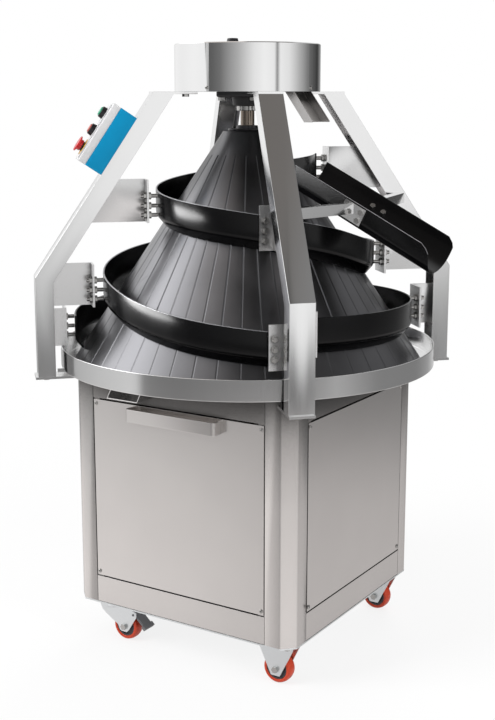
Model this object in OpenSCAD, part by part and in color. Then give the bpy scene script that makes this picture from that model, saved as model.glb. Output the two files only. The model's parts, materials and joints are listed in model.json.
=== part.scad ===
// Conical dough rounder: a grooved cone turns inside a spiral guide carried by four bent legs
// on a wheeled cabinet. Millimetres, +Z up, origin on the floor under the cone's axis,
// handle side towards -Y, discharge side towards +X.

/* [Cabinet] */
// Distance by which the tray stands out past the cabinet's sides
tray_over = 155; // [145:1:165]
// Height of the cabinet from base plate to top plate
cab_h = 616; // [590:1:650]
// Flat face of a corner post
post_flat = 42; // [38:1:46]
// Corner cut of a corner post
post_cut = 30; // [26:1:34]
// Sheet thickness of posts and rails
sheet = 2; // [1.5:0.1:2.5]
// Thickness of base plate and top plate
plate_t = 4; // [3:0.5:6]
// Height of the bottom rails
rail_low_h = 75; // [65:1:90]
// Height of the top rails
rail_top_h = 71; // [65:1:80]
// Thickness of the panels
panel_t = 3; // [2.5:0.1:4]
// Gap round each panel
panel_gap = 2; // [1:0.1:3]

/* [Handle] */
// Length of the front handle
handle_l = 262; // [220:1:300]
// Height of the handle strip
handle_h = 32; // [26:1:38]
// Distance from panel to the strip's outer face
handle_out = 30; // [26:1:36]
// Thickness of the handle strip
handle_t = 4; // [3:0.5:5]

/* [Tray] */
// Gap between the cone's lower edge and the outside of the tray
tray_gap = 34; // [30:1:42]
// Height of the tray with its rim
tray_h = 51; // [44:1:58]
// Wall of the tray
tray_t = 3; // [2:0.5:4]

/* [Cone] */
// Diameter of the cone's flat top
cone_top_d = 122; // [112:1:130]
// Height of the cone
cone_h = 575; // [560:1:585]
// Half angle of the cone, also the lean of the legs
cone_angle = 33.8; // [33:0.1:34.4]
// Wall of the cone
cone_t = 8; // [7:0.5:10]
// Number of grooves, every second one short
groove_n = 48; // [40:2:56]
// Width of a groove
groove_w = 5; // [4:0.5:6]
// Depth of a groove
groove_d = 1.8; // [1.2:0.1:2.5]
// Height of the smooth part at the top
cone_cap = 57; // [45:1:70]
// Height of the top part that only the long grooves reach
long_part = 192; // [175:1:205]
// Gap between cone and tray floor
cone_lift = 6; // [5:0.5:10]
// Diameter of the main shaft
shaft_d = 35; // [30:1:40]

/* [Frame] */
// Gap between the tray and a leg
leg_gap = 17; // [13:1:24]
// Width of a leg
leg_w = 60; // [54:1:66]
// Depth of a leg
leg_d = 44; // [40:1:48]
// Sheet thickness of a leg
leg_t = 3; // [2.5:0.5:4]
// Distance by which a leg stands out from the drum at its top
leg_reach = 62.4; // [56:0.1:70]
// Distance from the cone's top to the drum
neck_h = 97; // [90:1:105]

/* [Drum] */
// Diameter of the drum
drum_d = 364; // [354:1:374]
// Height of the drum
drum_h = 115; // [100:1:130]
// Wall of the drum
drum_t = 2; // [1.5:0.1:3]

/* [Guides] */
// Distance from cone to the middle of the guide band
guide_gap = 58; // [54:1:62]
// Height of the guide band
guide_h = 62; // [58:1:66]
// Height of the leaning flange below the band
guide_lip = 22; // [18:1:25]
// Wall of the guides
guide_t = 4; // [3:0.5:5]
// Gap between flange edge and cone
guide_clear = 2.5; // [2:0.1:4]
// Gap between guide and bracket, set by the adjusting bolts
bracket_gap = 24; // [20:1:28]
// Thickness of the brackets
bracket_t = 5; // [4:0.5:6]

/* [Discharge chute] */
// Width of the chute
chute_w = 160; // [150:1:170]
// Depth of the chute across its slope
chute_d = 58; // [54:1:62]
// Slope of the chute
chute_slope = 26.6; // [24:0.1:28]
// Sheet thickness of the chute
chute_t = 2; // [1.5:0.1:3]
// Level length of the chute
chute_run = 350; // [340:1:360]
// Gap between the cone and the chute's inner end
chute_gap = 31; // [28:1:36]
// Size of the square arms
arm_w = 25; // [22:1:28]

/* [Controls] */
// Length of the control box along the leg
box_l = 163; // [156:1:172]
// Width of the control box
box_w = 72; // [68:1:80]
// Depth of the box under its lid
box_d = 46; // [42:1:56]
// Thickness of the lid
lid_t = 20; // [16:1:24]
// Travel of start button and stop button
push_travel = 3; // [2:0.5:4]
// Travel of the mushroom button
stop_travel = 4; // [3:0.5:5]

/* [Drive] */
// Gap between the working circles of the pulleys
belt_gap = 35; // [30:1:40]
// Working diameter of the drive pulley
small_pulley_d = 90; // [80:1:100]
// Distance from the cabinet's side to the axis of the drive pulley
drive_in = 110; // [105:1:118]

/* [Casters] */
// Height of a caster with its plate
caster_h = 110; // [106:1:116]
// Diameter of a wheel
wheel_d = 75; // [71:1:77]
// Width of a wheel
wheel_w = 31; // [28:1:34]
// Diameter of the axle bolts
axle_d = 10; // [9:0.5:11]
// Distance by which a swivel wheel trails
trail = 37; // [33:1:40]

/* [Fits] */
// Radial gap where a part turns on another
run_gap = 0.05; // [0.03:0.01:0.08]
// Radial gap where a part is seated in another
seat_gap = 0.05; // [0.03:0.01:0.08]
// Gap where a part slides in another
slide_gap = 0.3; // [0.2:0.05:0.4]

/* [Hidden] */
$fn = 48;
lean = tan(cone_angle);
cone_r1 = cone_top_d / 2;
cone_r0 = cone_r1 + cone_h * lean;
tray_r = round(cone_r0 + tray_gap);
half = tray_r - tray_over;
z_base = caster_h + plate_t;
z_top = caster_h + cab_h;
post_x = half - post_cut - post_flat;
post_lip = 20;
lip_in = max(panel_t - 0.5, sheet + 0.3);
panel_z0 = caster_h + rail_low_h + panel_gap;
panel_z1 = z_top - rail_top_h - panel_gap;
panel_face = half - lip_in + panel_t;
panel_x = post_x - panel_gap;
corner_r = (2 * half - post_cut) / sqrt(2);
screw_x = post_x - post_lip / 2;
screw_z = [panel_z0 + 11, panel_z1 - 11];
handle_z = panel_z1 - 5 - handle_h / 2;
spout_w = 92;
spout_d = 52;
spout_in = 157;
cone_z0 = z_top + tray_t + cone_lift;
cone_z1 = cone_z0 + cone_h;
leg_r = tray_r + leg_gap + leg_d;
wall_r = cone_t / cos(cone_angle);
drum_z = cone_z1 + neck_h;
drum_r = drum_d / 2;
tab_t = 6;
foot_t = 6;
leg_z0 = z_top - 18;
leg_top = drum_z - tab_t;
bend_z = leg_top - (leg_r - drum_r - leg_reach) / lean;
half_bend = tan(cone_angle / 2);
bolt_d = 10;
leg_angles = [-45, 45, 135, 225];
pulley_z = z_base + 236;
pulley_gap = half - drive_in;
big_pulley_d = 2 * (pulley_gap - belt_gap) - small_pulley_d;
motor_y = 65;
motor_l = half - motor_y - 60;
belt_t = 8;
belt_w = 11;
pulley_hub = 14;
pulley_w = 20;
pad_h = 3;
pad_w = 44;
lid_wall = 4 + pad_h;
lid_z = box_d + lid_t + pad_h;
bezel_h = 11;
legend_t = 1.2;
box_drop = 126;
box_z = leg_top - box_drop;
wheel_r = wheel_d / 2;
hub_r = wheel_r - 10.5;
fork_in = wheel_w / 2 + 1.5;
fork_t = 3;
rigid_x = half - 66;
rigid_y = half - 60;
swivel_x = -(half - 85);
swivel_y = half - 63;
caster_plate_t = 3;
pivot_x = 30;
pivot_z = wheel_r + 38;
plate_l = 100;
plate_w = 85;
plate_hole_x = 40;
plate_hole_y = 32.5;
chute_share = 0.8683;
chute_in_z = cone_z0 + chute_share * cone_h;
chute_in = cone_r(chute_in_z - chute_d / cos(chute_slope)) + chute_gap;
chute_end = chute_in + chute_run;
chute_rise = chute_run * tan(chute_slope);
chute_z = chute_in_z - chute_rise;
chute_corner = 25;
chute_bolt_d = 8;
chute_arc = ((chute_w - chute_corner) * (chute_w - chute_corner) + chute_d * chute_d) / (2 * chute_d);
arm_in = 148;
arm_low = 22;
arm_x = chute_in + arm_in;
arm_z = chute_z + (chute_end - arm_x) * tan(chute_slope) - arm_low;
upper_path = [[40, 0.9026], [140, 0.822], [240, 0.7409], [306, 0.68], [345, 0.6174], [383, 0.5304],
    [455, 0.502], [533, 0.4696], [592, 0.3861], [640, 0.2904], [674, 0.2383]];
lower_path = [[678, 0.289], [709, 0.28], [745, 0.2696], [840, 0.24], [945, 0.2087]];

// Radius of the cone at a height
function cone_r(z) = cone_r1 + (cone_z1 - z) * lean;
// Slope of a path at one of its keys
function key_slope(p, i) =
    let (a = max(i - 1, 0), b = min(i + 1, len(p) - 1)) (p[b][1] - p[a][1]) / (p[b][0] - p[a][0]);
// Number of the key before an angle
function key_at(p, a, i = 0) = (i >= len(p) - 2 || a < p[i + 1][0]) ? i : key_at(p, a, i + 1);
// Share of the cone's height that a path has at an angle
function path_share(p, a) =
    let (i = key_at(p, a), w = p[i + 1][0] - p[i][0], t = (a - p[i][0]) / w)
    (2 * t ^ 3 - 3 * t ^ 2 + 1) * p[i][1] + (t ^ 3 - 2 * t ^ 2 + t) * w * key_slope(p, i)
    + (3 * t ^ 2 - 2 * t ^ 3) * p[i + 1][1] + (t ^ 3 - t ^ 2) * w * key_slope(p, i + 1);
// Height of a guide's upper edge at an angle
function guide_z(p, a) = cone_z0 + cone_h * path_share(p, a);
// Outer radius of a guide at an angle
function guide_r(p, a) = cone_r(guide_z(p, a) - guide_h / 2) + guide_gap;
// Section of a guide seen from its upper outer edge
lip_edge = 3;
tip_r = -guide_gap + lean * (guide_h / 2 + guide_lip - lip_edge) + guide_clear;
guide_section = [[0, 0], [0, -guide_h], [tip_r + lip_edge, -guide_h - guide_lip],
    [tip_r, -guide_h - guide_lip + lip_edge], [-guide_t, -guide_h + guide_t / 2], [-guide_t, 0]];
// Inner face of a leg's web at a height
function web_r(z) = leg_r - leg_t - max(z - bend_z + leg_t * half_bend, 0) * lean;
// Points of an arc
function arc(c, r, a0, a1, n) =
    [for (i = [0:n]) let (a = a0 + (a1 - a0) * i / n) c + r * [cos(a), sin(a)]];

// Plate drawn in the plane of radius and height
module upright(points, w) {
    rotate([90, 0, 0])
        linear_extrude(w, center = true)
            polygon(points);
}

// Outline of the cabinet
module outline(h) {
    c = half - post_cut;
    linear_extrude(h)
        polygon([[c, half], [half, c], [half, -c], [c, -half], [-c, -half], [-half, -c], [-half, c],
            [-c, half]]);
}

// Hexagon head bolt that points down from its head
module bolt(d, l) {
    cylinder(h = d * 0.65, d = d * 1.8, $fn = 6);
    translate([0, 0, -l])
        cylinder(h = l + 0.1, d = d, $fn = 24);
}

module at_casters() {
    for (s = [-1, 1]) {
        translate([rigid_x, s * rigid_y, 0])
            children();
        translate([swivel_x, s * swivel_y, 0])
            children();
    }
}

module at_plate_holes() {
    for (x = [-1, 1], y = [-1, 1])
        translate([x * plate_hole_x, y * plate_hole_y, 0])
            children();
}

module base_plate() {
    color("silver")
        difference() {
            translate([0, 0, caster_h])
                outline(plate_t);
            at_casters()
                at_plate_holes()
                    translate([0, 0, caster_h - 1])
                        cylinder(h = plate_t + 2, d = 8.4);
        }
}

module top_plate() {
    color("silver")
        difference() {
            translate([0, 0, z_top - plate_t])
                outline(plate_t);
            translate([0, 0, z_top - plate_t - 1])
                cylinder(h = plate_t + 2, d = shaft_d + 20);
            for (a = [45:90:315])
                rotate([0, 0, a])
                    translate([65, 0, z_top - plate_t - 1])
                        cylinder(h = plate_t + 2, d = 12.4);
        }
}

module corner_posts() {
    k = sheet * tan(22.5);
    c = half - post_cut;
    f = half - lip_in;
    points = [[post_x - post_lip, f], [post_x, f], [post_x, half], [c, half], [half, c], [half, post_x],
        [f, post_x], [f, post_x - post_lip], [f - sheet, post_x - post_lip], [f - sheet, post_x + sheet],
        [half - sheet, post_x + sheet], [half - sheet, c - k], [c - k, half - sheet],
        [post_x + sheet, half - sheet], [post_x + sheet, f - sheet], [post_x - post_lip, f - sheet]];
    color("lightgray")
        for (a = [0:90:270])
            rotate([0, 0, a])
                difference() {
                    translate([0, 0, z_base])
                        linear_extrude(cab_h - 2 * plate_t)
                            polygon(points);
                    for (z = screw_z) {
                        translate([screw_x, half, z])
                            rotate([90, 0, 0])
                                cylinder(h = 20, d = 5.2);
                        translate([half - 20, screw_x, z])
                            rotate([0, 90, 0])
                                cylinder(h = 20, d = 5.2);
                    }
                }
}

module rail(z0, h) {
    w = post_x - post_lip - 3;
    translate([-post_x, half - sheet, z0])
        cube([2 * post_x, sheet, h]);
    for (z = [z0, z0 + h - sheet])
        translate([-w, half - 40, z])
            cube([2 * w, 40, sheet]);
}

module cabinet_rails() {
    color("lightgray")
        for (a = [0:90:270])
            rotate([0, 0, a]) {
                rail(z_base, rail_low_h - plate_t);
                rail(z_top - rail_top_h, rail_top_h - plate_t);
            }
}

module panel() {
    difference() {
        translate([-panel_x, -panel_face, panel_z0])
            cube([2 * panel_x, panel_t, panel_z1 - panel_z0]);
        for (x = [-screw_x, screw_x], z = screw_z)
            translate([x, -panel_face - 1, z])
                rotate([-90, 0, 0])
                    cylinder(h = panel_t + 2, d = 5.2);
    }
}

module front_panel() {
    color("gainsboro")
        panel();
}

module side_panels() {
    color("gainsboro")
        for (a = [90, 180, 270])
            rotate([0, 0, a])
                panel();
}

module front_handle() {
    l = handle_l / 2;
    r = 10;
    q = r - handle_t;
    outer = concat([[l, 0]], arc([l - r, r - handle_out], r, 0, -90, 6),
        arc([r - l, r - handle_out], r, -90, -180, 6), [[-l, 0]]);
    inner = concat([[handle_t - l, 0]], arc([r - l, r - handle_out], q, 180, 270, 6),
        arc([l - r, r - handle_out], q, 270, 360, 6), [[l - handle_t, 0]]);
    color("lightgray")
        translate([0, -panel_face, handle_z - handle_h / 2])
            linear_extrude(handle_h)
                polygon(concat(outer, inner));
}

module cover_screws() {
    color("gray") {
        for (a = [0:90:270], x = [-screw_x, screw_x], z = screw_z)
            rotate([0, 0, a])
                translate([x, -panel_face, z])
                    rotate([90, 0, 0]) {
                        cylinder(h = 3, d1 = 10, d2 = 7);
                        translate([0, 0, -10])
                            cylinder(h = 10.1, d = 5);
                    }
        for (a = [0:90:270])
            rotate([0, 0, a])
                translate([drum_r + 0.3, 0, drum_z + 9])
                    rotate([0, 90, 0]) {
                        cylinder(h = 2.5, d1 = 9, d2 = 6);
                        translate([0, 0, -8])
                            cylinder(h = 8.1, d = 5);
                    }
    }
}

module leg(a) {
    top_z = leg_top + 1;
    tab_end = leg_r - (leg_top - bend_z) * lean;
    top_o = leg_r - (top_z - bend_z) * lean;
    top_i = leg_r - leg_d - (top_z - bend_z + leg_d * half_bend) * lean;
    in_z = bend_z - leg_d * half_bend;
    s = leg_t / cos(cone_angle);
    cut_z = bend_z - leg_t * half_bend;
    over = (leg_top + 5 - bend_z) * lean;
    color("lightgray")
        rotate([0, 0, a]) {
            difference() {
                upright([[leg_r, leg_z0], [leg_r, bend_z], [top_o, top_z], [top_i, top_z],
                    [leg_r - leg_d, in_z], [leg_r - leg_d, leg_z0]], leg_w);
                upright([[leg_r - leg_t, leg_z0 - 5], [leg_r - leg_t, cut_z],
                    [leg_r - s - over, leg_top + 5], [top_i - 40, leg_top + 5],
                    [leg_r - leg_d - 40, in_z], [leg_r - leg_d - 40, leg_z0 - 5]], leg_w - 2 * leg_t);
            }
            difference() {
                translate([drum_r - 50, -leg_w / 2, leg_top])
                    cube([tab_end - drum_r + 50, leg_w, tab_t]);
                translate([drum_r - 25, 0, leg_top - 1])
                    cylinder(h = tab_t + 2, d = bolt_d + 0.4);
            }
        }
}

module leg_front_right() {
    leg(leg_angles[0]);
}

module leg_back_right() {
    leg(leg_angles[1]);
}

module leg_back_left() {
    leg(leg_angles[2]);
}

module leg_front_left() {
    leg(leg_angles[3]);
}

module leg_feet() {
    color("lightgray")
        for (a = leg_angles)
            rotate([0, 0, a])
                difference() {
                    union() {
                        translate([corner_r, -leg_w / 2, leg_z0 - foot_t])
                            cube([leg_r + 6 - corner_r, leg_w, foot_t]);
                        translate([corner_r, -4, leg_z0 - 0.5])
                            cube([leg_r - leg_d - 6 - corner_r, 8, 15]);
                    }
                    translate([leg_r - leg_d / 2, 0, leg_z0 - foot_t - 1])
                        cylinder(h = foot_t + 2, d = bolt_d + 0.4);
                }
}

module frame_bolts() {
    color("gray") {
        for (a = leg_angles)
            rotate([0, 0, a]) {
                translate([leg_r - leg_d / 2, 0, leg_z0 - foot_t])
                    rotate([180, 0, 0])
                        bolt(bolt_d, foot_t + 12);
                translate([drum_r - 25, 0, leg_top])
                    rotate([180, 0, 0])
                        bolt(bolt_d, tab_t + 14);
            }
        at_casters()
            at_plate_holes()
                translate([0, 0, caster_h - caster_plate_t])
                    rotate([180, 0, 0])
                        bolt(8, plate_t + caster_plate_t - 0.5);
        for (a = [45:90:315])
            rotate([0, 0, a]) {
                translate([65, 0, z_top + 14])
                    bolt(12, 14 + plate_t + 8);
                translate([65, 0, drum_z - 14])
                    rotate([180, 0, 0])
                        bolt(12, 14 + 5 + 8);
            }
        chute_frame() {
            for (z = near_bolts)
                translate([arm_s + arm_bolt, -chute_w / 2 - 5, z])
                    rotate([90, 0, 0])
                        bolt(chute_bolt_d, 5 + chute_t + 2);
            for (x = far_bolts)
                far_normal(arm_s + x)
                    translate([0, 0, chute_arc - chute_t - 0.2])
                        rotate([180, 0, 0])
                            bolt(chute_bolt_d, chute_t);
        }
    }
}

module tray() {
    hole = 95;
    color("lightgray")
        rotate_extrude($fn = 96)
            polygon([[hole, z_top], [tray_r, z_top], [tray_r, z_top + tray_h],
                [tray_r - tray_t, z_top + tray_h], [tray_r - tray_t, z_top + tray_t],
                [hole, z_top + tray_t]]);
}

module tray_spout() {
    w = spout_w;
    d = spout_d;
    color("lightgray")
        translate([spout_in - half, -half, z_top])
            difference() {
                translate([0, -d, -d])
                    cube([w, d, d]);
                translate([2, -d - 8, 2 - d])
                    cube([w - 4, d + 18, d + 8]);
                translate([-1, -d, -d])
                    rotate([-38, 0, 0])
                        translate([0, -80, -40])
                            cube([w + 2, 80, 140]);
            }
}

module cone() {
    color("dimgray")
        difference() {
            rotate_extrude($fn = 96)
                polygon([[shaft_d / 2 + seat_gap, cone_z1], [cone_r1, cone_z1], [cone_r0, cone_z0],
                    [cone_r0 - wall_r, cone_z0], [cone_r(cone_z1 - 14) - wall_r, cone_z1 - 14],
                    [shaft_d / 2 + seat_gap, cone_z1 - 14]]);
            for (i = [0:groove_n - 1])
                rotate([0, 0, i * 360 / groove_n])
                    groove(i % 2 == 0 ? cone_cap : long_part);
        }
}

// V groove down the side of the cone, from a height below its top to past its lower edge
module groove(start) {
    translate([cone_r1, 0, cone_z1])
        rotate([0, 180 - cone_angle, 0])
            translate([0, 0, start / cos(cone_angle)])
                linear_extrude(height = (cone_h - start) / cos(cone_angle) + 20)
                    polygon([[groove_d, 0], [-groove_d, groove_w], [-groove_d, -groove_w]]);
}

module cone_spider() {
    z = cone_z0 + 60;
    h = 30;
    gap = wall_r + seat_gap;
    color("gray") {
        difference() {
            union() {
                translate([0, 0, z])
                    cylinder(h = 70, d = 90);
                for (a = [0, 90])
                    rotate([0, 0, a])
                        translate([-cone_r(z) + gap + 20, -20, z])
                            cube([2 * (cone_r(z) - gap - 20), 40, 12]);
                rotate_extrude($fn = 96)
                    polygon([[cone_r(z) - gap - 30, z], [cone_r(z) - gap, z], [cone_r(z + h) - gap, z + h],
                        [cone_r(z + h) - gap - 10, z + h]]);
            }
            translate([0, 0, z - 1])
                cylinder(h = 80, d = shaft_d + 2 * seat_gap);
        }
    }
}

module main_shaft() {
    color("silver")
        translate([0, 0, pulley_z - 30])
            cylinder(h = drum_z + 20 - pulley_z + 30, d = shaft_d);
}

module flange_bearing() {
    difference() {
        union() {
            translate([-58, -58, 0])
                cube([116, 116, 14]);
            cylinder(h = 34, d1 = 84, d2 = 72);
        }
        translate([0, 0, -1])
            cylinder(h = 40, d = shaft_d + 2 * run_gap);
        for (a = [45:90:315])
            rotate([0, 0, a])
                translate([65, 0, -1])
                    cylinder(h = 20, d = 12.4);
    }
}

module lower_bearing() {
    color("black")
        translate([0, 0, z_top])
            flange_bearing();
}

module upper_bearing() {
    color("black")
        translate([0, 0, drum_z])
            rotate([180, 0, 0])
                flange_bearing();
}

module drum_base() {
    color("silver")
        difference() {
            translate([0, 0, drum_z])
                cylinder(h = 5, r = drum_r - drum_t - 0.3, $fn = 96);
            translate([0, 0, drum_z - 1])
                cylinder(h = 8, d = shaft_d + 15);
            for (a = [45:90:315])
                rotate([0, 0, a]) {
                    translate([65, 0, drum_z - 1])
                        cylinder(h = 8, d = 12.4);
                    translate([drum_r - 25, 0, drum_z - 1])
                        cylinder(h = 8, d = bolt_d + 0.4);
                }
        }
}

module drum_cover() {
    z1 = drum_z + drum_h;
    r = drum_r - drum_t;
    color("silver")
        difference() {
            rotate_extrude($fn = 96)
                polygon([[0, z1 - drum_t], [r, z1 - drum_t], [r, drum_z], [drum_r, drum_z], [drum_r, z1 - 2],
                    [drum_r - 2, z1], [0, z1]]);
            for (a = [0:90:270])
                rotate([0, 0, a])
                    translate([drum_r - 10, 0, drum_z + 9])
                        rotate([0, 90, 0])
                            cylinder(h = 20, d = 5.2);
        }
}

module drum_knob() {
    color("black")
        translate([-31, -20, drum_z + drum_h]) {
            cylinder(h = 6, d = 18);
            translate([0, 0, 6])
                cylinder(h = 9, d1 = 30, d2 = 26);
        }
}

flour_w = 66;
flour_h = 22;
flour_l = 150;
flour_drop = 72;

module flour_chute() {
    color("lightgray")
        rotate([0, 0, -10])
            intersection() {
                translate([drum_r - 31, 0, drum_z])
                    rotate([0, 50, 0])
                        translate([-40, 0, 0])
                            difference() {
                                translate([0, -flour_w / 2, 0])
                                    cube([flour_l, flour_w, flour_h]);
                                translate([-1, -flour_w / 2 + 2, 2])
                                    cube([flour_l + 2, flour_w - 4, flour_h]);
                            }
                translate([drum_r / 3, -flour_w, drum_z - flour_drop])
                    cube([drum_r, 2 * flour_w, flour_drop]);
            }
}

module guide(p, step) {
    n = ceil((p[len(p) - 1][0] - p[0][0]) / step);
    m = len(guide_section);
    points = [for (i = [0:n]) let (a = p[0][0] + (p[len(p) - 1][0] - p[0][0]) * i / n, r = guide_r(p, a),
        z = guide_z(p, a)) for (q = guide_section) [(r + q[0]) * cos(a), (r + q[0]) * sin(a), z + q[1]]];
    sides = [for (i = [0:n - 1], j = [0:m - 1]) let (k = (j + 1) % m, a = i * m + j, b = i * m + k) each
        [[a, b, b + m], [a, b + m, a + m]]];
    start = [[0, 5, 4], [0, 4, 1], [1, 4, 3], [1, 3, 2]];
    finish = [for (f = start) [n * m + f[0], n * m + f[2], n * m + f[1]]];
    polyhedron(points, concat(sides, start, finish), 10);
}

module guide_upper() {
    color("black")
        guide(upper_path, 5);
}

module guide_lower() {
    color("black")
        guide(lower_path, 5);
}

// Places of the brackets: leg angle with its turns, path, side offset of plate, strip ends, bolts and lift
strip_l = 70;
strip_end = 2.5;
strip_bolt = 50;
strip_up = 20;
strip_down = 24;
side_gap = 18;
usual = [0, -strip_l, strip_end, -strip_bolt, 0];
first_strip = [0, -18, 24, 12, 0];
turned_over = [0, -strip_end, strip_l - 24, strip_bolt - 17, 10];
short_strip = [0, 32 - strip_l, strip_end, 25 - strip_bolt, 5];
mid_strip = [0, 15 - strip_l, strip_end, 8 - strip_bolt, 2];
side_strip = [side_gap, side_gap - strip_end, side_gap + 44, side_gap + 26, 0];
bracket_places = [concat([45, 0], first_strip), concat([135, 0], usual), concat([225, 0], turned_over),
    concat([315, 0], short_strip), concat([405, 0], usual), concat([495, 0], usual),
    concat([585, 0], turned_over), concat([675, 0], mid_strip), concat([675, 1], side_strip),
    concat([765, 1], usual), concat([855, 1], usual), concat([945, 1], usual)];
bracket_bolts = [-0.16, -0.55, -0.92] * guide_h;

function bracket_path(b) = b[1] == 0 ? upper_path : lower_path;
function bracket_turn(b) = b[0] + asin(b[5] / guide_r(bracket_path(b), b[0] + b[5] / 8));
function bracket_r(b) = guide_r(bracket_path(b), bracket_turn(b));
function bracket_z(b) = guide_z(bracket_path(b), bracket_turn(b));
function strip_r(b) = sqrt(bracket_r(b) ^ 2 - b[5] ^ 2) + bracket_gap;

module bracket(b) {
    r = strip_r(b);
    z0 = max(bracket_z(b) + b[6] - guide_h - strip_down, z_top + tray_h + 4);
    z1 = bracket_z(b) + b[6] + strip_up;
    zb = bend_z - leg_t * half_bend;
    bend = (z0 < zb - 1 && zb + 1 < z1) ? [[web_r(zb), zb]] : [];
    rotate([0, 0, b[0]])
        difference() {
            union() {
                translate([0, b[2], 0])
                    upright(concat([[r, z0], [web_r(z0), z0]], bend, [[web_r(z1), z1], [r, z1]]),
                        bracket_t);
                translate([r, b[3], z0])
                    cube([bracket_t, b[4] - b[3], z1 - z0]);
            }
            for (d = bracket_bolts)
                translate([r - 1, b[5], bracket_z(b) + d])
                    rotate([0, 90, 0])
                        cylinder(h = bracket_t + 2, d = bolt_d + 0.4, $fn = 24);
        }
}

module guide_brackets() {
    color("lightgray")
        for (b = bracket_places)
            bracket(b);
}

module guide_bolts() {
    color("gray")
        for (b = bracket_places, d = bracket_bolts) {
            r = strip_r(b);
            e = sqrt(bracket_r(b) ^ 2 - (abs(b[5]) - bolt_d / 2) ^ 2) + 0.4;
            rotate([0, 0, b[0]])
                translate([0, b[5], bracket_z(b) + d])
                    rotate([0, 90, 0]) {
                        translate([0, 0, e])
                            cylinder(h = r + bracket_t + 14 - e, d = bolt_d, $fn = 16);
                        translate([0, 0, r - 7])
                            cylinder(h = 7, d = bolt_d * 1.8, $fn = 6);
                        translate([0, 0, r + bracket_t])
                            cylinder(h = 7, d = bolt_d * 1.8, $fn = 6);
                    }
        }
}

// Frame of the chute: x down the slope, y across, z square to the slope,
// origin on the line of its upper edges
module chute_frame() {
    translate([chute_in, 0, chute_z + chute_rise])
        rotate([0, chute_slope, 0])
            children();
}

arm_s = (arm_x - chute_in) / cos(chute_slope) + 10;
arm_bolt = arm_w / 2 + 20;
near_bolts = [-13, -35];
far_bolts = [0, 32];
far_angle = 33;

// Places something on the curved far wall, pointing out through it
module far_normal(x) {
    translate([x, chute_corner - chute_w / 2, chute_arc - chute_d])
        rotate([far_angle, 0, 0])
            rotate([180, 0, 0])
                children();
}

// Section of the chute, grown by g
function chute_section(g) =
    let (y0 = chute_corner - chute_w / 2, q = asin((chute_w - chute_corner) / chute_arc))
    concat([[-chute_w / 2 - g, 0]], arc([y0, chute_corner - chute_d], chute_corner + g, 180, 270, 6),
        [for (i = [1:12]) let (a = q * i / 12)
            [y0, chute_arc - chute_d] + (chute_arc + g) * [sin(a), -cos(a)]]);

module chute_prism(g, up) {
    s = chute_section(g);
    l = chute_rise / sin(chute_slope);
    translate([-60, 0, 0])
        rotate([90, 0, 90])
            linear_extrude(l + 120)
                polygon(concat([[s[0][0], up]], s, [[s[len(s) - 1][0], up]]));
}

module discharge_chute() {
    t = tan(chute_slope);
    z1 = chute_z;
    r = 16;
    color("black")
        difference() {
            intersection() {
                chute_frame()
                    difference() {
                        chute_prism(0, 0.01);
                        chute_prism(-chute_t, 5);
                    }
                upright([[chute_in, z1 - 2 * chute_d], [chute_end, z1 - 2 * chute_d], [chute_end, z1 - r],
                    [chute_end - 5, z1 - r / 3], [chute_end - r, z1 + r * t],
                    [chute_in, z1 + chute_rise + 10]], 2 * chute_w);
            }
            chute_frame() {
                for (z = near_bolts)
                    translate([arm_s + arm_bolt, -chute_w / 2 - 10, z])
                        rotate([-90, 0, 0])
                            cylinder(h = 20, d = 8.4);
                for (x = far_bolts)
                    far_normal(arm_s + x)
                        translate([0, 0, chute_arc - 10])
                            cylinder(h = 20, d = 8.4);
            }
        }
}

module chute_arms() {
    m = (web_r(arm_z) + web_r(arm_z) - leg_d) / 2;
    p = [m * cos(45) + leg_w / 2 * cos(45), m * sin(45) - leg_w / 2 * sin(45)];
    color("lightgray") {
        difference() {
            union() {
                difference() {
                    translate([p[0], -p[1], arm_z])
                        rotate([0, 0, atan2(p[1] - chute_w / 2 - 5, arm_x - p[0])])
                            translate([-60, -arm_w / 2, -arm_w / 2])
                                cube([400, arm_w, arm_w]);
                    rotate([0, 0, -45])
                        translate([0, leg_w / 2 - 200, arm_z - 50])
                            cube([600, 200, 100]);
                    translate([0, -chute_w / 2 - 4.5, arm_z - 50])
                        cube([600, 400, 100]);
                }
                chute_frame()
                    translate([arm_s - arm_w / 2 - 5, -chute_w / 2 - 5, near_bolts[1] - 10])
                        cube([arm_w / 2 + 5 + arm_bolt + 10, 5, near_bolts[0] - near_bolts[1] + 20]);
            }
            chute_frame()
                for (z = near_bolts)
                    translate([arm_s + arm_bolt, -chute_w / 2 - 10, z])
                        rotate([-90, 0, 0])
                            cylinder(h = 12, d = 8.4);
        }
        difference() {
            translate([p[0], p[1], arm_z])
                rotate([0, 0, -atan2(p[1] - chute_w / 2 - 5, arm_x - p[0])])
                    translate([-60, -arm_w / 2, -arm_w / 2])
                        cube([340, arm_w, arm_w]);
            rotate([0, 0, 45])
                translate([0, -leg_w / 2, arm_z - 50])
                    cube([600, 200, 100]);
            chute_frame()
                chute_prism(seat_gap, 60);
            translate([0, -400, arm_z - 50])
                cube([600, 410, 100]);
        }
    }
}

// Frame of the control box: x out from the leg's sloping face, z up along it
module box_frame() {
    rotate([0, 0, leg_angles[3]])
        translate([leg_r - (box_z - bend_z) * lean, 0, box_z])
            rotate([0, -cone_angle, 0])
                children();
}

// Places something on the lid, pointing out of it
module on_lid(d) {
    box_frame()
        translate([lid_z, 0, box_l / 2 - d])
            rotate([0, 90, 0])
                children();
}

start_at = box_l * 0.2;
stop_at = box_l * 0.5;
mushroom_at = box_l * 0.79;
push_d = 22;
stem_d = 16;

module control_box() {
    color("steelblue")
        box_frame()
            difference() {
                translate([0, -box_w / 2, -box_l / 2])
                    cube([box_d, box_w, box_l]);
                translate([3, -box_w / 2 + 3, -box_l / 2 + 3])
                    cube([box_d, box_w - 6, box_l - 6]);
            }
}

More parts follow.
